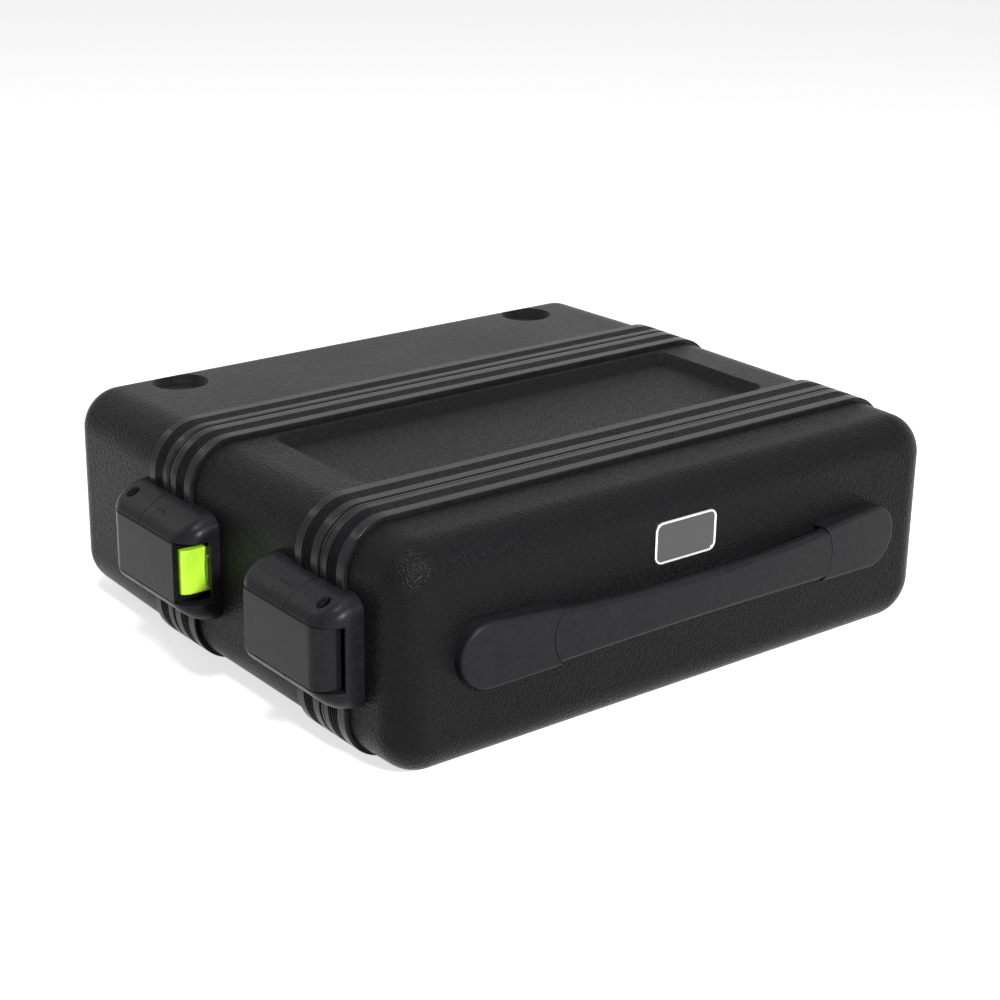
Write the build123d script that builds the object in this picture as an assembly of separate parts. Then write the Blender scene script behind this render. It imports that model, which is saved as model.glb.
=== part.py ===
from build123d import *
import math
import os

# All sizes are in millimetres. +X runs along the width, the front lid faces -Y and +Z is up.

# --- Case outline, taken over the valances -------------------------------------------------
case_width = 305.0
case_height = 104.0
corner_radius = 22.0          # the outline's four corners
body_depth = 117.4            # middle body, from one parting plane to the other
front_lid_depth = 50.4
rear_lid_depth = 96.0
parting_gap = 0.5             # between a lid's valance and the body's

# --- Moulded shells ------------------------------------------------------------------------
shell_wall = 3.0
lid_edge_radius = 14.5        # between a lid's end face and its sides
lid_draft = 1.2               # degrees, over the part of a lid beyond its valance
recess_length = 229.0         # in the body's top
recess_width = 73.5
recess_depth = 4.5
recess_slope = 4.5            # how far the recess walls lean out over their depth
recess_corner_radius = 6.0
recess_rim_radius = 1.2
dimple_diameter = 28.5        # two stacking dimples in the rear lid's top
dimple_floor_diameter = 19.0
dimple_depth = 5.0
dimple_spacing = 208.0
dimple_from_parting = 73.4

# --- Valances ------------------------------------------------------------------------------
valance_width = 17.2
valance_flange = 2.0
valance_edge_radius = 0.5
web_thickness = 4.5
web_depth = 9.5               # inwards, from the outline
inner_flange_width = 12.0
inner_flange_thickness = 1.5
ridge_groove_count = 5
ridge_groove_width = 0.75
ridge_groove_depth = 0.6
ridge_pitch = 1.45
ridge_strip_centre = 8.7      # from the parting face
lip_groove_width = 0.5        # the fine line beside a lid's parting face
lip_groove_from_parting = 1.7
seal_groove_width = 3.0
seal_groove_depth = 3.0
seal_groove_inset = 3.4       # from the outline
seal_thickness = 1.4
tongue_width = 2.2
tongue_length = 1.0           # past the body's parting face

# --- Foam ----------------------------------------------------------------------------------
foam_inset = 10.0             # from the outline
foam_setback = 1.0            # from a parting face
mic_tray_depth = 56.0
tray_gap = 0.5
mic_length = 262.0
mic_handle_diameter = 40.0
mic_head_diameter = 56.0
mic_head_length = 70.0
mic_bay_depth = 46.0
receiver_length = 198.0
receiver_height = 44.0
receiver_bay_depth = 48.0
front_foam_depth = 40.0
rear_foam_depth = 84.0
accessory_length = 200.0
accessory_height = 56.0
accessory_bay_depth = 66.0
bay_corner_radius = 5.0

# --- Latches: u runs from the parting plane towards the body, h outwards, w upwards ---------
latch_height = 16.6           # stand-off from the valances
latch_above_base = 53.3       # the latch's middle, above the case's base
hinge_reach = 28.6             # along the lid, from the parting plane
keeper_reach = 38.2            # along the body, from the parting plane
hinge_end_radius = 12.5
keeper_end_radius = 12.0
housing_half_height = 24.6     # where the wings' curve would meet the shells' inside
housing_foot = 4.0            # depth to which the form is drawn before it is seated
wing_mid_height = 9.4         # one point of the wings' curved slope
wing_mid_half = 21.2
wing_rim = 1.0                # beside the lever, at the housing's top
housing_seam_step = 0.8       # the seam's small jog
seam_step_height = 9.4
wing_blend_radius = 7.0        # where the wings' curve meets the rounded ends
lever_half_height = 13.7
lever_side_clearance = 0.4
lever_reach = 30.0             # lever's free end, from the parting plane
lever_skin = 2.8
lever_back_gap = 0.7          # over the keeper housing's floor
lever_edge_radius = 0.6
knuckle_radius = 7.9
hinge_u = -17.0                # pin, from the parting plane
pin_radius = 2.0
pin_clearance = 0.05
pin_seat = 2.5                # length of each pin end held in a wing
pin_hole_radius = 2.9         # wider mouth of the pin's hole
keeper_floor = 1.5            # under the lever, over the valance
keeper_floor_step = 0.8       # past the valance, where the floor drops
keeper_floor_low = -0.4
channel_hinge_end = -27.4     # channel for the lever, between the two end walls
channel_keeper_end = 36.2
hinge_wall_height = 6.4
keeper_wall_height = 2.6
button_half_height = 10.1
button_clearance = 0.4
button_length = 14.0
button_stand_out = 2.8        # past the lever's free end
button_bevel_height = 3.0
button_bevel_depth = 1.8
button_travel = 3.0
button_stop_gap = 0.5         # left behind the button when it is pressed right in
button_dish_depth = 1.0
button_rim = 1.0              # either side of the dish
toe_length = 8.8
toe_clearance = 0.9           # over the keeper's low floor
rail_length = 8.0             # the button's side rails, which slide in the lever's grooves
rail_height = 2.0
rail_depth = 1.2
rail_clearance = 0.3
nose_half_height = 6.0
nose_length = 1.6
nose_thickness = 0.8
lip_gap = 0.5                 # nose to lip's underside
lip_reach = 1.2               # from the end wall towards the nose
lip_thickness = 0.8
spring_radius = 3.0
spring_wire = 0.7
spring_turns = 4.0
spring_length = 7.0
spring_clearance = 0.35       # around the coils in the button's bore
mark_from_parting = 6.0       # small panel outlined by a groove on each keeper wing
mark_length = 7.8
mark_low = 9.2
mark_high = 14.6
mark_groove_width = 0.6
mark_groove_depth = 0.3

# --- Latch screws --------------------------------------------------------------------------
screw_radius = 1.5
screw_clearance = 0.2
screw_head_radius = 3.2
screw_head_height = 2.0
screw_bite = 7.0              # into the housing
screw_half_spacing = 18.8
inner_screw_u = 8.0
outer_screw_u = 27.0

# --- Handle: s is the stand-off from the front lid's face ------------------------------------
handle_height = 52.5          # above the case's base
handle_half_length = 123.0
handle_end_stand_off = 5.2
handle_mid_stand_off = 11.2
handle_joint = 75.0           # end cap to grip, from the middle
cap_end_half_height = 14.5
cap_joint_half_height = 12.6
cap_edge_radius = 1.6
grip_thickness = 6.0
grip_joint_half_height = 11.6
grip_mid_half_height = 9.4
grip_end_bulge = 4.0
grip_edge_radius = 2.2
handle_seam = 0.4
strip_half_length = 104.0
strip_half_height = 6.0
strip_thickness = 1.2
strip_clearance = 0.1
handle_screw_radius = 2.0
handle_screw_depth = 3.6      # into the end cap
handle_screw_head_radius = 3.6
handle_screw_head_height = 2.4
handle_screw_half_spacing = 9.2
handle_screw_x = 97.0
backing_plate_length = 26.0
backing_plate_height = 28.0
backing_plate_thickness = 1.5

# --- Badge ---------------------------------------------------------------------------------
badge_length = 34.5
badge_height = 19.0
badge_corner_radius = 4.0
badge_frame_width = 1.3
badge_frame_height = 1.6
badge_insert_height = 1.0
badge_above_base = 76.8
badge_from_middle = -3.0
badge_frame_round = 0.55

# --- Places worked out from the sizes above --------------------------------------------------
total_depth = handle_mid_stand_off + front_lid_depth + body_depth + rear_lid_depth
front_face_y = handle_mid_stand_off - total_depth / 2
front_part_y = front_face_y + front_lid_depth
rear_part_y = front_part_y + body_depth
rear_face_y = rear_part_y + rear_lid_depth
body_mid_y = (front_part_y + rear_part_y) / 2
mid_z = case_height / 2
shell_inset = valance_flange
shell_inner = shell_inset + shell_wall
half_gap = parting_gap / 2
CUT = 1.0                     # how far a cutting solid runs past what it cuts
TOUCH = 0.01                  # two places this near are the same


def section(inset):
    """The case's rounded outline, moved inwards."""
    return RectangleRounded(case_width - 2 * inset, case_height - 2 * inset, corner_radius - inset)


def along_y(face, start_y, end_y, taper=0.0):
    """A section pushed from one Y place to another."""
    way = 1 if end_y > start_y else -1
    plane = Plane(origin=(0, start_y, mid_z), x_dir=(1, 0, 0), z_dir=(0, way, 0))
    return extrude(plane * face, amount=abs(end_y - start_y), taper=taper)


def box_between(low, high):
    """A box from its lowest to its highest corner."""
    size = [high[i] - low[i] for i in range(3)]
    centre = [(high[i] + low[i]) / 2 for i in range(3)]
    return Pos(*centre) * Box(*size)


def solid_of(shape):
    """The shape's one solid, so that no loose compound is written."""
    return shape.solids()[0] if len(shape.solids()) == 1 else shape


def end_edges(solid):
    """The edges round the two faces that look along Y."""
    faces = solid.faces().sort_by(Axis.Y)
    return faces[0].edges() + faces[-1].edges()


# --- Latch frame: local x is u, local y is h and local z is w --------------------------------
latch_plane = Plane(origin=(-case_width / 2, front_part_y, latch_above_base), x_dir=(0, 1, 0), z_dir=(0, 0, 1))
body_middle = Plane(origin=(0, body_mid_y, 0), z_dir=(0, 1, 0))
corners = [(side, end) for end in ("front", "rear") for side in ("left", "right")]


def at_corner(piece, side, end):
    """Moves a piece from the latch frame to one of the four latches."""
    placed = latch_plane.location * piece
    if side == "right":
        placed = mirror(placed, about=Plane.YZ)
    if end == "rear":
        placed = mirror(placed, about=body_middle)
    return placed


# --- Valances and seals ----------------------------------------------------------------------
def valance(part_y, way, is_lid):
    """One extruded frame; way is +1 where its own shell lies towards +Y."""
    def y_at(v):
        return part_y + way * (half_gap + v)

    def ring(outer, inner, v_start, v_end):
        return along_y(section(outer), y_at(v_start), y_at(v_end)) - along_y(
            section(inner), y_at(v_start - CUT), y_at(v_end + CUT))

    blank = along_y(section(0), y_at(0), y_at(valance_width))
    blank = fillet(end_edges(blank), valance_edge_radius)
    frame = blank - along_y(section(valance_flange), y_at(-CUT), y_at(valance_width + CUT))
    frame += ring(valance_flange, web_depth, 0, web_thickness)
    frame += ring(shell_inner, shell_inner + inner_flange_thickness, 0, inner_flange_width)
    first = ridge_strip_centre - ridge_pitch * (ridge_groove_count - 1) / 2
    grooves = [(first + i * ridge_pitch, ridge_groove_width) for i in range(ridge_groove_count)]
    if is_lid:
        grooves.append((lip_groove_from_parting, lip_groove_width))
    for centre, width in grooves:
        frame -= ring(-CUT, ridge_groove_depth, centre - width / 2, centre + width / 2)
    seal_inner = seal_groove_inset + seal_groove_width
    if is_lid:
        play = (seal_groove_width - tongue_width) / 2
        frame += ring(seal_groove_inset + play, seal_inner - play, -(parting_gap + tongue_length), CUT)
    else:
        frame -= ring(seal_groove_inset, seal_inner, -CUT, seal_groove_depth)
    return frame


def seal(part_y, way):
    """The strip at the bottom of a body valance's groove."""
    deep = part_y + way * (half_gap + seal_groove_depth)
    shallow = deep - way * seal_thickness
    strip = along_y(section(seal_groove_inset), shallow, deep)
    return strip - along_y(section(seal_groove_inset + seal_groove_width), shallow - way * CUT, deep + way * CUT)


# --- Shells ----------------------------------------------------------------------------------
def recess_block(grow, drop):
    """The recess's sloped block, grown sideways and moved down."""
    top_z = case_height - shell_inset - drop
    corner = recess_corner_radius
    rim = RectangleRounded(recess_length + 2 * grow, recess_width + 2 * grow, corner + grow)
    floor = RectangleRounded(recess_length + 2 * (grow - recess_slope),
                             recess_width + 2 * (grow - recess_slope), max(corner + grow - recess_slope, 1.5))
    place = Pos(0, body_mid_y, top_z)
    return loft([place * rim, place * Pos(0, 0, -recess_depth) * floor])


def body_shell():
    start = front_part_y + half_gap + web_thickness
    end = rear_part_y - half_gap - web_thickness
    tube = along_y(section(shell_inset), start, end) - along_y(section(shell_inner), start - CUT, end + CUT)
    pan = recess_block(shell_wall, shell_wall)
    lid_of_pan = Pos(0, body_mid_y, case_height - shell_inset - shell_wall / 2) * Box(
        recess_length, recess_width, shell_wall)
    tube = tube + pan + lid_of_pan - recess_block(0, 0)
    rim_z = case_height - shell_inset
    rim = [e for e in tube.edges().filter_by(Plane.XY)
           if abs(e.center().Z - rim_z) < TOUCH and abs(e.center().X) <= recess_length / 2 + TOUCH
           and abs(e.center().Y - body_mid_y) <= recess_width / 2 + 0.01]
    tube = fillet(rim, recess_rim_radius)
    return tube - screw_holes(("front", "rear"), keeper_screw_places, screw_radius + screw_clearance)


def lid_form(inset, part_y, face_y, edge_radius):
    """A lid's closed form at one inset, straight under the valance and drafted beyond it."""
    way = 1 if face_y > part_y else -1
    start = part_y + way * (half_gap + web_thickness)
    bend = part_y + way * (half_gap + valance_width)
    form = along_y(section(inset), start, bend) + along_y(section(inset), bend, face_y, taper=lid_draft)
    faces = form.faces().sort_by(Axis.Y)
    face = faces[-1] if way > 0 else faces[0]
    return fillet(face.edges(), edge_radius)


def lid_shell(part_y, face_y):
    way = 1 if face_y > part_y else -1
    outside = lid_form(shell_inset, part_y, face_y, lid_edge_radius)
    inside = lid_form(shell_inner, part_y, face_y - way * shell_wall, lid_edge_radius - shell_wall)
    inside += along_y(section(shell_inner), part_y, part_y + way * (half_gap + web_thickness + CUT))
    return outside, outside - inside


def front_lid_shell():
    shell = lid_shell(front_part_y, front_face_y)[1]
    for x, z in handle_screw_places():
        shell -= y_cylinder(handle_screw_radius + screw_clearance, x, z, front_face_y - CUT,
                            front_face_y + shell_wall + CUT)
    return shell - screw_holes(("front",), hinge_screw_places, screw_radius + screw_clearance)


def rear_lid_shell():
    outside, shell = lid_shell(rear_part_y, rear_face_y)
    top_z = case_height - shell_inset
    deep = dimple_depth + shell_wall
    for x in (-dimple_spacing / 2, dimple_spacing / 2):
        place = Pos(x, rear_part_y + dimple_from_parting, top_z)
        pad = place * Pos(0, 0, -deep / 2) * Cylinder(dimple_diameter / 2 + shell_wall / 2, deep)
        cup = place * Pos(0, 0, -dimple_depth / 2) * Cone(
            dimple_floor_diameter / 2, dimple_diameter / 2, dimple_depth)
        rim = place * Pos(0, 0, CUT / 2) * Cylinder(dimple_diameter / 2, CUT)
        shell = shell + (pad & outside) - cup - rim
    return shell - screw_holes(("rear",), hinge_screw_places, screw_radius + screw_clearance)


# --- Foam ------------------------------------------------------------------------------------
def bay(length, height, start_y, end_y, x=0.0, z=0.0):
    face = Pos(x, z) * RectangleRounded(length, height, bay_corner_radius)
    plane = Plane(origin=(0, start_y, mid_z), x_dir=(1, 0, 0), z_dir=(0, -1, 0))
    return extrude(plane * face, amount=start_y - end_y)


def mic_foam_tray():
    start = front_part_y + foam_setback
    block = along_y(section(foam_inset), start, start + mic_tray_depth)
    floor = start + mic_bay_depth
    head_x = (mic_length - mic_head_length) / 2
    block -= bay(mic_length, mic_handle_diameter, floor, start - CUT)
    return block - bay(mic_head_length, mic_head_diameter, floor, start - CUT, x=head_x)


def receiver_foam_tray():
    start = front_part_y + foam_setback + mic_tray_depth + tray_gap
    end = rear_part_y - foam_setback
    block = along_y(section(foam_inset), start, end)
    return block - bay(receiver_length, receiver_height, end + CUT, end - receiver_bay_depth)


def front_lid_foam():
    end = front_part_y - half_gap - foam_setback
    return along_y(section(foam_inset), end, end - front_foam_depth)


def rear_lid_foam():
    start = rear_part_y + half_gap + foam_setback
    block = along_y(section(foam_inset), start, start + rear_foam_depth)
    return block - bay(accessory_length, accessory_height, start + accessory_bay_depth, start - CUT)


# --- Latch housings --------------------------------------------------------------------------
def latch_plan():
    """The latch's outline seen along w, from its hinge end to its keeper end."""
    base = -housing_foot
    hinge_corner = (-hinge_reach + hinge_end_radius, latch_height - hinge_end_radius)
    keeper_corner = (keeper_reach - keeper_end_radius, latch_height - keeper_end_radius)
    lines = [
        Line((-hinge_reach, base), (-hinge_reach, hinge_corner[1])),
        CenterArc(hinge_corner, hinge_end_radius, 180, -90),
        Line((hinge_corner[0], latch_height), (keeper_corner[0], latch_height)),
        CenterArc(keeper_corner, keeper_end_radius, 90, -90),
        Line((keeper_reach, keeper_corner[1]), (keeper_reach, base)),
        Line((keeper_reach, base), (-hinge_reach, base)),
    ]
    return make_face(lines)


def wing_section():
    """The housing's section across w: steep rims at the top and flatter wings at the case."""
    base = -housing_foot
    top = lever_half_height + lever_side_clearance + wing_rim
    lines = []
    for way in (-1, 1):
        foot = (base, way * housing_half_height)
        lines.append(ThreePointArc(foot, (wing_mid_height, way * wing_mid_half), (latch_height, way * top)))
    lines.append(Line((base, -housing_half_height), (base, housing_half_height)))
    lines.append(Line((latch_height, -top), (latch_height, top)))
    return make_face(lines)


def latch_form():
    """The closed latch's whole outer form, before it is divided."""
    plan = extrude(latch_plan(), amount=housing_half_height + CUT, both=True)
    across = Plane(origin=(-hinge_reach - CUT, 0, 0), x_dir=(0, 1, 0), z_dir=(1, 0, 0))
    wings = extrude(across * wing_section(), amount=hinge_reach + keeper_reach + 2 * CUT)
    form = plan & wings
    creases = [e for e in form.edges() if e.geom_type in (GeomType.BSPLINE, GeomType.CIRCLE)]
    form = fillet(creases, wing_blend_radius)
    return form - extrude(latch_seat(), amount=housing_half_height + CUT, both=True)


def latch_seat():
    """The case under a latch seen along w: valances in the middle, a shell beyond each."""
    edge = valance_width + half_gap
    far_hinge = -hinge_reach - CUT
    far_keeper = keeper_reach + CUT
    drafted = -shell_inset - (-far_hinge - edge) * math.tan(math.radians(lid_draft))
    deep = -housing_foot - CUT
    return make_face(Polyline((far_keeper, deep), (far_keeper, -shell_inset), (edge, -shell_inset), (edge, 0),
                              (-edge, 0), (-edge, -shell_inset), (far_hinge, drafted), (far_hinge, deep),
                              close=True))


def channel(u_start, u_end, floor_h):
    half = lever_half_height + lever_side_clearance
    return box_between((u_start, floor_h, -half), (u_end, latch_height + CUT, half))


def seam_split(way):
    """Everything on one side of the housings' stepped seam; way is +1 for the body side."""
    far = way * (hinge_reach + keeper_reach)
    lines = []
    for low, high, shift in ((-housing_foot, seam_step_height, 0.0),
                             (seam_step_height, latch_height + CUT, housing_seam_step)):
        near = shift + way * half_gap
        lines.append(box_between((min(near, far), low, -housing_half_height - CUT),
                                 (max(near, far), high, housing_half_height + CUT)))
    return lines[0] + lines[1]


def hinge_housing():
    """The lid's half: two wings and an end wall, open down to the valance between them."""
    form = latch_form() & seam_split(-1)
    form -= channel(channel_hinge_end, CUT, -shell_inset - CUT) + channel(-hinge_reach - CUT, CUT, hinge_wall_height)
    half = lever_half_height + lever_side_clearance
    form -= Pos(hinge_u, knuckle_h(), 0) * Cylinder(pin_radius, 2 * (half + pin_seat))
    for way in (-1, 1):
        mouth = Cylinder(pin_hole_radius, housing_half_height)
        form -= Pos(hinge_u, knuckle_h(), way * (half + pin_seat + housing_half_height / 2)) * mouth
    return form - local_screws(hinge_screw_places, screw_radius)


def keeper_housing():
    """The body's half: two wings, a floor slotted for the button's toe, and a low lipped end wall."""
    form = latch_form() & seam_split(1)
    form -= channel(-CUT, channel_keeper_end, keeper_floor)
    form -= channel(valance_width + half_gap + keeper_floor_step, channel_keeper_end, keeper_floor_low)
    form -= channel(-CUT, keeper_reach + CUT, keeper_wall_height)
    toe_half = button_half_height + button_clearance
    form -= box_between((-CUT, keeper_floor_low, -toe_half), (channel_keeper_end, keeper_floor + CUT, toe_half))
    lip_low = toe_low() + nose_thickness + lip_gap
    form += box_between((channel_keeper_end - lip_reach, lip_low, -nose_half_height),
                        (channel_keeper_end + CUT, lip_low + lip_thickness, nose_half_height))
    return form - wing_marks() - local_screws(keeper_screw_places, screw_radius)


def wing_marks():
    """The fine groove round a small panel on each keeper wing's slope."""
    across = Plane(origin=(mark_from_parting, 0, 0), x_dir=(0, 1, 0), z_dir=(1, 0, 0))
    core = offset(wing_section(), amount=-mark_groove_depth)
    skin = extrude(across * wing_section(), amount=mark_length) - extrude(across * core, amount=mark_length)
    return skin & (mark_window(0) - mark_window(mark_groove_width))


def mark_window(inset):
    high = housing_half_height + inset
    return box_between((mark_from_parting + inset, mark_low + inset, -high),
                       (mark_from_parting + mark_length - inset, mark_high - inset, high))


def knuckle_h():
    return latch_height - knuckle_radius


def hinge_pin():
    half = lever_half_height + lever_side_clearance + pin_seat
    return Pos(hinge_u, knuckle_h(), 0) * Cylinder(pin_radius, 2 * half)


# --- Lever, button and spring ----------------------------------------------------------------
def lever_back():
    return keeper_floor + lever_back_gap


def button_start():
    return lever_reach + button_stand_out - button_length


def pocket_start():
    return button_start() - button_travel - button_stop_gap


def toe_low():
    return keeper_floor_low + toe_clearance


def spring_h():
    return (lever_back() + latch_height - lever_skin) / 2


def rails(start, grow):
    """The button's two side rails, or with grow the grooves that hold them."""
    half = button_half_height + rail_depth + grow
    side = rail_height / 2 + grow
    return box_between((start, spring_h() - side, -half),
                       (button_start() + rail_length + grow, spring_h() + side, half))


def lever():
    plate = box_between((hinge_u, lever_back(), -lever_half_height),
                        (lever_reach, latch_height, lever_half_height))
    knuckle = Pos(hinge_u, knuckle_h(), 0) * Cylinder(knuckle_radius, 2 * lever_half_height)
    form = plate + knuckle
    edges = [e for e in form.edges()
             if abs(abs(e.center().Z) - lever_half_height) < TOUCH and e.center().Y > lever_back() + CUT]
    form = fillet(edges, lever_edge_radius)
    form -= Pos(hinge_u, knuckle_h(), 0) * Cylinder(pin_radius + pin_clearance, 2 * lever_half_height + CUT)
    half = button_half_height + button_clearance
    pocket = box_between((pocket_start(), lever_back() - CUT, -half),
                         (lever_reach + CUT, latch_height - lever_skin, half))
    return form - pocket - rails(pocket_start(), rail_clearance)


def button():
    end = button_start() + button_length
    top = latch_height - lever_skin - button_clearance
    toe_start = end - toe_length
    side = Polyline((button_start(), lever_back()), (toe_start, lever_back()), (toe_start, toe_low()),
                    (end, toe_low()), (end, top - button_bevel_height), (end - button_bevel_depth, top),
                    (button_start(), top), close=True)
    block = extrude(make_face(side), amount=button_half_height, both=True)
    bevel_edges = [e for e in block.edges().filter_by(Axis.Z)
                   if e.center().X > toe_start + CUT and e.center().Y > lever_back()]
    block = fillet(bevel_edges, lever_edge_radius) - button_dish()
    nose = box_between((end - button_dish_depth - CUT, toe_low(), -nose_half_height),
                       (end + nose_length, toe_low() + nose_thickness, nose_half_height))
    bore_radius = spring_radius + spring_wire / 2 + spring_clearance
    bore_depth = spring_length
    bore = Pos(button_start(), spring_h(), 0) * Rot(0, 90, 0) * Cylinder(bore_radius, 2 * bore_depth)
    return block + nose + rails(button_start(), 0) - bore


def button_dish():
    """The shallow hollow across the button's finger face."""
    half = button_half_height - button_rim
    radius = (half ** 2 + button_dish_depth ** 2) / (2 * button_dish_depth)
    end = button_start() + button_length
    return Pos(end + radius - button_dish_depth, 0, 0) * Rot(90, 0, 0) * Cylinder(radius, 2 * latch_height)


def button_spring():
    """A compression spring between the lever's pocket and the button's bore, at its pressed length."""
    height = spring_length - 2 * spring_wire
    path = Helix(pitch=height / spring_turns, height=height, radius=spring_radius)
    wire = sweep((path ^ 0) * Circle(spring_wire / 2), path=path)
    return Pos(pocket_start() + spring_wire, spring_h(), 0) * Rot(0, 90, 0) * wire


# --- Screws ----------------------------------------------------------------------------------
def hinge_screw_places():
    seat = -(shell_inner + inner_flange_thickness)
    return [(-inner_screw_u, way * screw_half_spacing, seat) for way in (-1, 1)]


def keeper_screw_places():
    flange_seat = -(shell_inner + inner_flange_thickness)
    places = [(inner_screw_u, way * screw_half_spacing, flange_seat) for way in (-1, 1)]
    return places + [(outer_screw_u, way * screw_half_spacing, -shell_inner) for way in (-1, 1)]


def local_screws(places, radius):
    """Shanks along h, in the latch frame, for cutting or for the screws themselves."""
    solids = []
    for u, w, seat in places():
        length = screw_bite - seat
        solids.append(Pos(u, seat + length / 2, w) * Rot(90, 0, 0) * Cylinder(radius, length))
    return solids


def local_heads(places):
    heads = []
    for u, w, seat in places():
        head = Rot(90, 0, 0) * Cylinder(screw_head_radius, screw_head_height)
        heads.append(Pos(u, seat - screw_head_height / 2, w) * head)
    return heads


def screw_holes(ends, places, radius):
    holes = []
    for side, end in corners:
        if end in ends:
            holes += [at_corner(shank, side, end) for shank in local_screws(places, radius)]
    return holes


def latch_screws(ends, places):
    screws = []
    for side, end in corners:
        if end in ends:
            pairs = zip(local_screws(places, screw_radius), local_heads(places))
            screws += [at_corner(shank + head, side, end) for shank, head in pairs]
    return Compound(children=[solid_of(screw) for screw in screws])


# --- Handle ----------------------------------------------------------------------------------
def y_cylinder(radius, x, z, start_y, end_y):
    place = Pos(x, (start_y + end_y) / 2, z) * Rot(90, 0, 0)
    return place * Cylinder(radius, abs(end_y - start_y))


def handle_arc(stand_off_drop, half_length):
    """The handle's outer curve in plan, moved towards the face."""
    rise = handle_mid_stand_off - handle_end_stand_off
    radius = (handle_half_length ** 2 + rise ** 2) / (2 * rise)
    reach = math.sqrt((radius - stand_off_drop) ** 2 - half_length ** 2)
    end = handle_mid_stand_off - radius + reach
    mid = handle_mid_stand_off - stand_off_drop
    return ThreePointArc((-half_length, -end), (0, -mid), (half_length, -end)), end


def handle_plan(outer_drop, inner_drop, half_length):
    """A strip of the handle in plan, between two moved copies of its outer curve."""
    outer, outer_end = handle_arc(outer_drop, half_length)
    if inner_drop is None:
        back = Line((-half_length, 0), (half_length, 0))
        inner_end = 0.0
    else:
        back, inner_end = handle_arc(inner_drop, half_length)
    ends = [Line((way * half_length, -outer_end), (way * half_length, -inner_end)) for way in (-1, 1)]
    return Pos(0, front_face_y, handle_height) * make_face([outer, back] + ends)


def on_front(face):
    """Puts a drawing of x and height on the front face, looking out along -Y."""
    plane = Plane(origin=(0, front_face_y + CUT, handle_height), x_dir=(1, 0, 0), z_dir=(0, -1, 0))
    return extrude(plane * face, amount=handle_mid_stand_off + 2 * CUT)


def grip_outline(gap):
    """The grip seen from the front; gap widens its bulged ends."""
    half = grip_joint_half_height
    end = handle_joint + gap
    lines = [ThreePointArc((-end, way * half), (0, way * grip_mid_half_height), (end, way * half))
             for way in (-1, 1)]
    lines += [ThreePointArc((way * end, -half), (way * (end + grip_end_bulge), 0), (way * end, half))
              for way in (-1, 1)]
    return make_face(lines)


def cap_outline(way):
    """One end cap seen from the front: a tapering bar with a half-round outer end."""
    centre = handle_half_length - cap_end_half_height
    body = Polyline((way * handle_joint, cap_joint_half_height), (way * centre, cap_end_half_height),
                    (way * centre, -cap_end_half_height), (way * handle_joint, -cap_joint_half_height), close=True)
    return make_face(body) + Pos(way * centre, 0) * Circle(cap_end_half_height)


def handle_cap(way):
    plan = extrude(handle_plan(0, None, handle_half_length), amount=cap_end_half_height + CUT, both=True)
    form = plan & on_front(cap_outline(way))
    outer = [e for e in form.edges() if e.center().Y < front_face_y - handle_end_stand_off / 2
             and abs(e.center().X) > handle_joint + CUT]
    form = fillet(outer, cap_edge_radius)
    half = cap_end_half_height
    joint = RectangleRounded(2 * handle_joint, 3 * half, CUT) + grip_outline(handle_seam)
    form = form - on_front(joint) - strip_form(strip_clearance)
    for x, z in handle_screw_places():
        form -= y_cylinder(handle_screw_radius, x, z, front_face_y + CUT, front_face_y - handle_screw_depth)
    return form


def handle_grip():
    plan = handle_plan(0, grip_thickness, handle_half_length)
    form = extrude(plan, amount=cap_end_half_height, both=True) & on_front(grip_outline(0))
    long_edges = [e for e in form.edges() if e.length > handle_joint]
    form = fillet(long_edges, grip_edge_radius)
    return form - strip_form(strip_clearance)


def strip_form(grow):
    middle = grip_thickness / 2
    half = strip_thickness / 2 + grow
    plan = handle_plan(middle - half, middle + half, strip_half_length + grow)
    return extrude(plan, amount=strip_half_height + grow, both=True)


def handle_screw_places():
    return [(side * handle_screw_x, handle_height + way * handle_screw_half_spacing)
            for side in (-1, 1) for way in (-1, 1)]


def handle_screws():
    seat = front_face_y + shell_wall + backing_plate_thickness
    screws = []
    for x, z in handle_screw_places():
        shank = y_cylinder(handle_screw_radius, x, z, front_face_y - handle_screw_depth, seat)
        head = y_cylinder(handle_screw_head_radius, x, z, seat, seat + handle_screw_head_height)
        screws.append(shank + head)
    return Compound(children=[solid_of(screw) for screw in screws])


def handle_backing_plates():
    start = front_face_y + shell_wall
    plates = []
    for way in (-1, 1):
        centre = (way * handle_screw_x, start + backing_plate_thickness / 2, handle_height)
        plate = Pos(*centre) * Box(backing_plate_length, backing_plate_thickness, backing_plate_height)
        for x, z in handle_screw_places():
            plate -= y_cylinder(handle_screw_radius + screw_clearance, x, z, start - CUT,
                                start + backing_plate_thickness + CUT)
        plates.append(plate)
    return Compound(children=[solid_of(plate) for plate in plates])


# --- Badge -----------------------------------------------------------------------------------
def badge_slab(inset, stand_off):
    plane = Plane(origin=(badge_from_middle, front_face_y, badge_above_base), x_dir=(1, 0, 0), z_dir=(0, -1, 0))
    face = RectangleRounded(badge_length - 2 * inset, badge_height - 2 * inset, badge_corner_radius - inset)
    return extrude(plane * face, amount=stand_off)


def badge_frame():
    frame = badge_slab(0, badge_frame_height) - badge_slab(badge_frame_width, badge_frame_height)
    outer_face = frame.faces().sort_by(Axis.Y)[0]
    return fillet(outer_face.edges(), badge_frame_round)


def badge_insert():
    return badge_slab(badge_frame_width, badge_insert_height)


# --- Output ----------------------------------------------------------------------------------
def screwed_valance(part_y, way, is_lid, end):
    frame = valance(part_y, way, is_lid)
    places = hinge_screw_places if is_lid else keeper_screw_places
    return frame - screw_holes((end,), places, screw_radius + screw_clearance)


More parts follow.
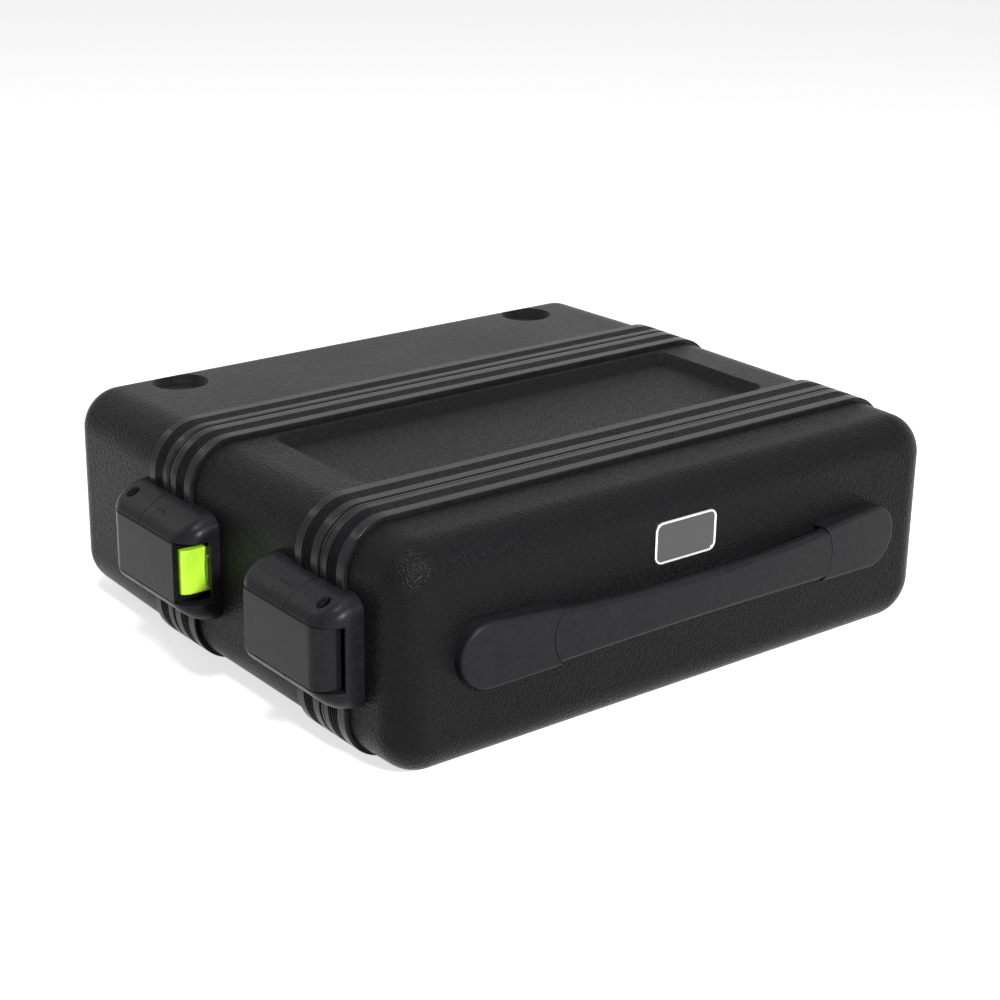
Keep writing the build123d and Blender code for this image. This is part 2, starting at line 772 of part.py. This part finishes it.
def all_pieces():
    pieces = {
        "body_shell": body_shell(),
        "body_front_valance": screwed_valance(front_part_y, 1, False, "front"),
        "body_rear_valance": screwed_valance(rear_part_y, -1, False, "rear"),
        "front_seal": seal(front_part_y, 1),
        "rear_seal": seal(rear_part_y, -1),
        "mic_foam_tray": mic_foam_tray(),
        "receiver_foam_tray": receiver_foam_tray(),
        "keeper_screws": latch_screws(("front", "rear"), keeper_screw_places),
        "front_lid_shell": front_lid_shell(),
        "front_lid_valance": screwed_valance(front_part_y, -1, True, "front"),
        "front_lid_foam": front_lid_foam(),
        "front_hinge_screws": latch_screws(("front",), hinge_screw_places),
        "handle_left_cap": handle_cap(-1),
        "handle_right_cap": handle_cap(1),
        "handle_grip": handle_grip(),
        "handle_steel_strip": strip_form(0),
        "handle_screws": handle_screws(),
        "handle_backing_plates": handle_backing_plates(),
        "badge_frame": badge_frame(),
        "badge_insert": badge_insert(),
        "rear_lid_shell": rear_lid_shell(),
        "rear_lid_valance": screwed_valance(rear_part_y, 1, True, "rear"),
        "rear_lid_foam": rear_lid_foam(),
        "rear_hinge_screws": latch_screws(("rear",), hinge_screw_places),
    }
    latch_pieces = {
        "hinge_housing": hinge_housing(),
        "keeper_housing": keeper_housing(),
        "hinge_pin": hinge_pin(),
        "lever": lever(),
        "button": button(),
        "button_spring": button_spring(),
    }
    for side, end in corners:
        for name, piece in latch_pieces.items():
            pieces[f"{side}_{end}_{name}"] = at_corner(piece, side, end)
    return pieces


os.makedirs("parts", exist_ok=True)
for node, piece in all_pieces().items():
    export_step(solid_of(piece), f"parts/{node}.step")
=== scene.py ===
"""The microphone case's finishes, surroundings and the photograph's own view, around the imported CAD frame."""
import bpy
import math
from mathutils import Matrix, Vector

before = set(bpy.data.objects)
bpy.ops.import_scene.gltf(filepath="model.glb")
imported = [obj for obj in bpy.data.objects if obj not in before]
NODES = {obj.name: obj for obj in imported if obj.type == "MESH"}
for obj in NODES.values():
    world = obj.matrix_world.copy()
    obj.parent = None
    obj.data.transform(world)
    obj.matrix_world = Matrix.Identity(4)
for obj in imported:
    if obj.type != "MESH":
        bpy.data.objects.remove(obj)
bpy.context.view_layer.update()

MM_PER_METRE = 1000.0

NOISE_ROUGHNESS = 0.55
NOISE_SPAN = (0.3, 0.7)              # where nearly all of a noise's values lie
CELL_SMOOTHNESS = 0.4
EDGE_SAMPLES = 4                     # of the shading that rounds edges

# The valances, along the case's depth (Y).
PARTING_PLANES = (-0.0759, 0.0415)   # metres
RIDGES_MIDDLE = 8.95                 # millimetres from a parting plane to the middle of the ridge strip
RIDGE_PITCH = 1.45                   # millimetres
RIDGE_STRIP_FADE = (3.1, 3.5)        # millimetres from the strip's middle, over which it gives way to the flats
EASED_EDGE = (0.25, 1.3)             # millimetres from a parting plane, over which the edge rises

# Rays that see the white background. The others see a dim room, so that the lamps light the case.
BACKGROUND_RAYS = ("Is Camera Ray", "Is Glossy Ray", "Is Transmission Ray")
BACKGROUND_WHITE = 1.0
ROOM_STRENGTH = 0.12
FLOOR_SIZE = 14                      # metres
FLOOR_MIDDLE = (0, 2, 0)
FLOOR_WHITE = 0.9                    # takes the case's shadow
FLOOR_GLOW = 0.72                    # lifts it to the background's white
FLOOR_DIM = 0.26                     # what the other rays meet

# name, place, point aimed at, (width, height), all in metres, and power in watts
LAMPS = [
    ("overhead", (-0.15, 0.15, 1.6), (0, 0, 0), (1.0, 0.8), 2),
    ("high_left", (-0.46, -0.28, 1.3), (0, 0, 0.05), (0.25, 0.25), 8),
    ("behind", (-0.52, 1.15, 0.9), (-0.1, 0, 0.08), (0.4, 0.15), 0.6),
    ("key", (-0.32, -1.3, 0.72), (0, -0.1, 0.06), (0.17, 0.17), 26),
]

# The photograph's camera, fitted from the case's straight edges.
CAMERA_TURN = (38.319, 20.494, 0.995)       # yaw, downward pitch and roll, in degrees
CAMERA_PLACE = (-0.5751, -0.7255, 0.3997)   # metres
CAMERA_LENS = 76.13                         # millimetres
CAMERA_SENSOR = 36.0                        # millimetres
CAMERA_REACH = 50                           # metres


# --- Materials -------------------------------------------------------------------------------
class Shader:
    """A Principled material and short ways to add procedural detail to it."""

    def __init__(self, name, colour, roughness, **settings):
        self.material = bpy.data.materials.new(name)
        self.material.use_nodes = True
        self.tree = self.material.node_tree
        self.nodes = self.tree.nodes
        self.surface = self.nodes["Principled BSDF"]
        self.set("Base Color", (*colour, 1.0))
        self.set("Roughness", roughness)
        for socket, value in settings.items():
            self.set(socket.replace("_", " "), value)
        self.place = self.nodes.new("ShaderNodeTexCoord").outputs["Object"]

    def set(self, socket, value):
        self.surface.inputs[socket].default_value = value

    def link(self, source, target):
        self.tree.links.new(source, target)

    def stretched(self, scale):
        mapping = self.nodes.new("ShaderNodeMapping")
        mapping.inputs["Scale"].default_value = scale
        self.link(self.place, mapping.inputs["Vector"])
        return mapping.outputs["Vector"]

    def noise(self, scale, detail, stretch=None):
        node = self.nodes.new("ShaderNodeTexNoise")
        node.inputs["Scale"].default_value = scale
        node.inputs["Detail"].default_value = detail
        node.inputs["Roughness"].default_value = NOISE_ROUGHNESS
        self.link(self.stretched(stretch) if stretch else self.place, node.inputs["Vector"])
        return node.outputs["Fac"]

    def cells(self, scale):
        """The distance from the middles of rounded cells."""
        node = self.nodes.new("ShaderNodeTexVoronoi")
        node.feature = "SMOOTH_F1"
        node.inputs["Scale"].default_value = scale
        node.inputs["Randomness"].default_value = 1.0
        node.inputs["Smoothness"].default_value = CELL_SMOOTHNESS
        self.link(self.place, node.inputs["Vector"])
        return node.outputs["Distance"]

    def remap(self, value, low, high, to_low, to_high):
        node = self.nodes.new("ShaderNodeMapRange")
        sockets = ("From Min", "From Max", "To Min", "To Max")
        for socket, number in zip(sockets, (low, high, to_low, to_high)):
            node.inputs[socket].default_value = number
        self.link(value, node.inputs["Value"])
        return node.outputs["Result"]

    def math(self, operation, first, second=0.0):
        node = self.nodes.new("ShaderNodeMath")
        node.operation = operation
        for socket, value in zip(node.inputs, (first, second)):
            if isinstance(value, (int, float)):
                socket.default_value = value
            else:
                self.link(value, socket)
        return node.outputs["Value"]

    def colour(self, value, stops):
        """Colours the surface by value, through stops of (position, colour)."""
        node = self.nodes.new("ShaderNodeValToRGB")
        ramp = node.color_ramp
        for element, (position, colour) in zip(ramp.elements, (stops[0], stops[-1])):
            element.position, element.color = position, (*colour, 1)
        for position, colour in stops[1:-1]:
            ramp.elements.new(position).color = (*colour, 1)
        self.link(value, node.inputs["Fac"])
        self.link(node.outputs["Color"], self.surface.inputs["Base Color"])

    def mottled(self, value, dark, light):
        """Colours the surface from dark to light over the middle of a noise."""
        self.colour(value, list(zip(NOISE_SPAN, (dark, light))))

    def roughness(self, value, low, high):
        self.link(self.remap(value, *NOISE_SPAN, low, high), self.surface.inputs["Roughness"])

    def bumps(self, layers, edge=None):
        """Stacked bumps, each (height, distance in metres, strength), over edges softened by a radius."""
        normal = None
        if edge:
            bevel = self.nodes.new("ShaderNodeBevel")
            bevel.samples = EDGE_SAMPLES
            bevel.inputs["Radius"].default_value = edge
            normal = bevel.outputs["Normal"]
        for height, distance, strength in layers:
            bump = self.nodes.new("ShaderNodeBump")
            bump.inputs["Distance"].default_value = distance
            bump.inputs["Strength"].default_value = strength
            self.link(height, bump.inputs["Height"])
            if normal:
                self.link(normal, bump.inputs["Normal"])
            normal = bump.outputs["Normal"]
        self.link(normal, self.surface.inputs["Normal"])


def shell_plastic():
    """Black moulded plastic with a fine pebbled grain."""
    s = Shader("shell_plastic", (0.008, 0.008, 0.0085), 0.38, Specular_IOR_Level=0.05)
    pebbles = s.cells(980)
    fine = s.noise(1700, 2)
    broad = s.noise(14, 3)
    s.mottled(s.noise(1300, 3), (0.005, 0.005, 0.0055), (0.011, 0.011, 0.0118))
    s.roughness(broad, 0.24, 0.31)
    s.bumps([(s.remap(pebbles, 0.0, 0.75, 1.0, 0.0), 0.0003, 0.85), (fine, 0.00014, 0.7)], edge=0.0004)
    return s.material


def satin_plastic(name, dark, light, rough_low, rough_high, edge):
    """Black plastic with a soft sheen and a slight tool texture."""
    s = Shader(name, dark, rough_high, Specular_IOR_Level=0.1)
    s.mottled(s.noise(320, 4), dark, light)
    s.roughness(s.noise(45, 4), rough_low, rough_high)
    s.bumps([(s.noise(2200, 2), 0.00003, 0.5)], edge=edge)
    return s.material


def from_parting(s):
    """Millimetres from the nearer of the two parting planes, along the case's depth."""
    split = s.nodes.new("ShaderNodeSeparateXYZ")
    s.link(s.place, split.inputs[0])
    depth = split.outputs["Y"]
    reaches = [s.math("ABSOLUTE", s.math("SUBTRACT", depth, plane)) for plane in PARTING_PLANES]
    return s.math("MULTIPLY", s.math("MINIMUM", *reaches), MM_PER_METRE)


def extruded_trim():
    """The valances' satin black, drawn along their length, with rounded ridges whose reflection is dimmed as
    painted shade of their valleys, and eased edges.
    """
    # The link below overrules this level.
    s = Shader("extruded_trim", (0.01, 0.01, 0.011), 0.24, Specular_IOR_Level=0.6)
    s.mottled(s.noise(260, 3), (0.008, 0.008, 0.009), (0.014, 0.014, 0.0155))
    s.roughness(s.noise(60, 3, stretch=(0.2, 4, 0.2)), 0.18, 0.27)
    reach = from_parting(s)
    across = s.math("SUBTRACT", reach, RIDGES_MIDDLE)
    wave = s.math("COSINE", s.math("MULTIPLY", across, 2 * math.pi / RIDGE_PITCH))
    strip = s.remap(s.math("ABSOLUTE", across), *RIDGE_STRIP_FADE, 1.0, 0.0)
    ridges = s.math("SUBTRACT", 1.0, s.math("MULTIPLY", strip, s.remap(wave, -1.0, 1.0, 0.0, 1.0)))
    # Dims the reflection over the ridge strip: painted shade of the valleys between the ridges.
    s.link(s.remap(strip, 0.0, 1.0, 0.12, 0.02), s.surface.inputs["Specular IOR Level"])
    eased = s.remap(reach, *EASED_EDGE, 0.0, 1.0)
    s.bumps([(ridges, 0.00045, 1.0),
             (eased, 0.0012, 1.0),
             (s.noise(900, 2, stretch=(0.05, 2, 0.05)), 0.00003, 0.35),
             (s.noise(2200, 1), 0.00002, 0.3)],
            edge=0.00025)
    return s.material


def green_plastic():
    """The release buttons' gloss lime, which lets a little light in."""
    s = Shader("green_plastic", (0.5, 0.86, 0.045), 0.34, Specular_IOR_Level=0.5)
    s.set("Subsurface Weight", 0.15)
    s.set("Subsurface Radius", (0.002, 0.003, 0.001))
    s.mottled(s.noise(180, 3), (0.47, 0.83, 0.04), (0.54, 0.9, 0.055))
    s.bumps([(s.noise(1800, 2), 0.00002, 0.4)], edge=0.0004)
    return s.material


def foam():
    """Open-cell foam: charcoal, darkened in its small pores as painted shade."""
    s = Shader("foam", (0.05, 0.05, 0.055), 0.95, Specular_IOR_Level=0.15)
    pores = s.cells(900)
    # Darkens the pores' hollows, where the bumps sink in: painted shade.
    s.colour(pores, [(0.1, (0.012, 0.012, 0.014)), (0.45, (0.05, 0.05, 0.055)), (0.8, (0.085, 0.085, 0.09))])
    s.bumps([(pores, 0.0009, 0.7), (s.noise(240, 4), 0.0005, 0.35)], edge=0.0012)
    return s.material


def seal_rubber():
    """Dull black rubber, between the shells."""
    s = Shader("seal_rubber", (0.012, 0.012, 0.012), 0.7)
    s.mottled(s.noise(500, 3), (0.009, 0.009, 0.009), (0.018, 0.018, 0.018))
    s.bumps([(s.noise(1500, 3), 0.00004, 0.4)])
    return s.material


def plated_steel():
    """Screws, pins, springs, and the strip and plates of the handle."""
    s = Shader("plated_steel", (0.56, 0.56, 0.58), 0.32, Metallic=1.0)
    s.mottled(s.noise(120, 4), (0.5, 0.5, 0.52), (0.62, 0.62, 0.63))
    s.roughness(s.noise(400, 3), 0.25, 0.42)
    s.bumps([(s.noise(1600, 2), 0.00002, 0.3)], edge=0.0002)
    return s.material


def chrome():
    """The badge's bright frame."""
    s = Shader("chrome", (0.74, 0.74, 0.76), 0.12, Metallic=1.0)
    s.mottled(s.noise(90, 3), (0.7, 0.7, 0.72), (0.78, 0.78, 0.8))
    s.roughness(s.noise(300, 3), 0.08, 0.18)
    s.bumps([(s.noise(700, 2), 0.00001, 0.2)])
    return s.material


def badge_gloss():
    """The badge's blank black insert."""
    s = Shader("badge_gloss", (0.006, 0.006, 0.007), 0.12, Coat_Weight=0.4, Coat_Roughness=0.06)
    s.mottled(s.noise(60, 3), (0.005, 0.005, 0.006), (0.008, 0.008, 0.009))
    s.roughness(s.noise(220, 4), 0.09, 0.2)
    s.bumps([(s.noise(120, 2), 0.00003, 0.15)])
    return s.material


def dressed():
    """Gives every CAD node its finish, chosen by what its name ends with."""
    steel, pads = plated_steel(), foam()
    latch = satin_plastic("latch_plastic", (0.007, 0.007, 0.008), (0.012, 0.012, 0.0135), 0.3, 0.37, 0.0005)
    lever = satin_plastic("lever_plastic", (0.007, 0.007, 0.008), (0.011, 0.011, 0.0125), 0.22, 0.3, 0.0005)
    grip = satin_plastic("handle_plastic", (0.008, 0.008, 0.009), (0.013, 0.013, 0.0145), 0.34, 0.44, 0.0006)
    finishes = {
        "_shell": shell_plastic(), "_valance": extruded_trim(), "_seal": seal_rubber(),
        "_tray": pads, "_foam": pads,
        "_screws": steel, "_pin": steel, "_spring": steel, "_strip": steel, "_plates": steel,
        "_button": green_plastic(), "_lever": lever, "_housing": latch,
        "_cap": grip, "_grip": grip,
        "badge_frame": chrome(), "badge_insert": badge_gloss(),
    }
    for name, node in NODES.items():
        finish = next(f for ending, f in finishes.items() if name.endswith(ending))
        node.data.materials.clear()
        node.data.materials.append(finish)


# --- Surroundings ----------------------------------------------------------------------------
def by_ray(tree, background_shader, other_shader, output):
    """Shows one shader to the rays that see the background, and another to the rest."""
    path = tree.nodes.new("ShaderNodeLightPath")
    mix = tree.nodes.new("ShaderNodeMixShader")
    chosen = path.outputs[BACKGROUND_RAYS[0]]
    for ray in BACKGROUND_RAYS[1:]:
        either = tree.nodes.new("ShaderNodeMath")
        either.operation = "MAXIMUM"
        tree.links.new(chosen, either.inputs[0])
        tree.links.new(path.outputs[ray], either.inputs[1])
        chosen = either.outputs[0]
    tree.links.new(chosen, mix.inputs[0])
    tree.links.new(other_shader, mix.inputs[1])
    tree.links.new(background_shader, mix.inputs[2])
    tree.links.new(mix.outputs[0], output)


def diffuse(tree, grey):
    node = tree.nodes.new("ShaderNodeBsdfDiffuse")
    node.inputs["Color"].default_value = (grey, grey, grey, 1)
    return node.outputs[0]


def floor():
    """White with the case's shadow to the camera and to reflections, and dim to every other ray."""
    bpy.ops.mesh.primitive_plane_add(size=FLOOR_SIZE, location=FLOOR_MIDDLE)
    plane = bpy.context.object
    plane.name = "floor"
    material = bpy.data.materials.new("floor")
    material.use_nodes = True
    tree = material.node_tree
    tree.nodes.clear()
    output = tree.nodes.new("ShaderNodeOutputMaterial")
    glow = tree.nodes.new("ShaderNodeEmission")
    glow.inputs["Strength"].default_value = FLOOR_GLOW
    both = tree.nodes.new("ShaderNodeAddShader")
    tree.links.new(diffuse(tree, FLOOR_WHITE), both.inputs[0])
    tree.links.new(glow.outputs[0], both.inputs[1])
    by_ray(tree, both.outputs[0], diffuse(tree, FLOOR_DIM), output.inputs["Surface"])
    plane.data.materials.append(material)


def surroundings_light():
    """White to the camera and to reflections, and a dim even room to every other ray."""
    world = bpy.data.worlds.new("studio")
    bpy.context.scene.world = world
    world.use_nodes = True
    tree = world.node_tree
    tree.nodes.clear()
    output = tree.nodes.new("ShaderNodeOutputWorld")
    shades = []
    for strength in (BACKGROUND_WHITE, ROOM_STRENGTH):
        shade = tree.nodes.new("ShaderNodeBackground")
        shade.inputs["Color"].default_value = (1, 1, 1, 1)
        shade.inputs["Strength"].default_value = strength
        shades.append(shade.outputs[0])
    by_ray(tree, *shades, output.inputs["Surface"])


def area_light(name, place, target, size, power):
    data = bpy.data.lights.new(name, "AREA")
    data.shape = "RECTANGLE"
    data.size, data.size_y = size
    data.energy = power
    lamp = bpy.data.objects.new(name, data)
    lamp.location = place
    lamp.rotation_euler = (Vector(target) - Vector(place)).to_track_quat("-Z", "Y").to_euler()
    bpy.context.scene.collection.objects.link(lamp)


def camera():
    """Sets the photograph's own view."""
    yaw, pitch, roll = (math.radians(angle) for angle in CAMERA_TURN)
    forward = Vector((math.sin(yaw) * math.cos(pitch), math.cos(yaw) * math.cos(pitch), -math.sin(pitch)))
    right = forward.cross(Vector((0, 0, 1))).normalized()
    up = right.cross(forward)
    across = right * math.cos(roll) + up * math.sin(roll)
    upward = up * math.cos(roll) - right * math.sin(roll)
    data = bpy.data.cameras.new("camera")
    data.lens = CAMERA_LENS
    data.sensor_width = CAMERA_SENSOR
    data.clip_end = CAMERA_REACH
    view = bpy.data.objects.new("camera", data)
    bpy.context.scene.collection.objects.link(view)
    matrix = Matrix((across, upward, -forward)).transposed().to_4x4()
    matrix.translation = Vector(CAMERA_PLACE)
    view.matrix_world = matrix
    bpy.context.scene.camera = view


dressed()
floor()
surroundings_light()
for lamp in LAMPS:
    area_light(*lamp)
camera()
bpy.context.scene.view_settings.view_transform = "Standard"
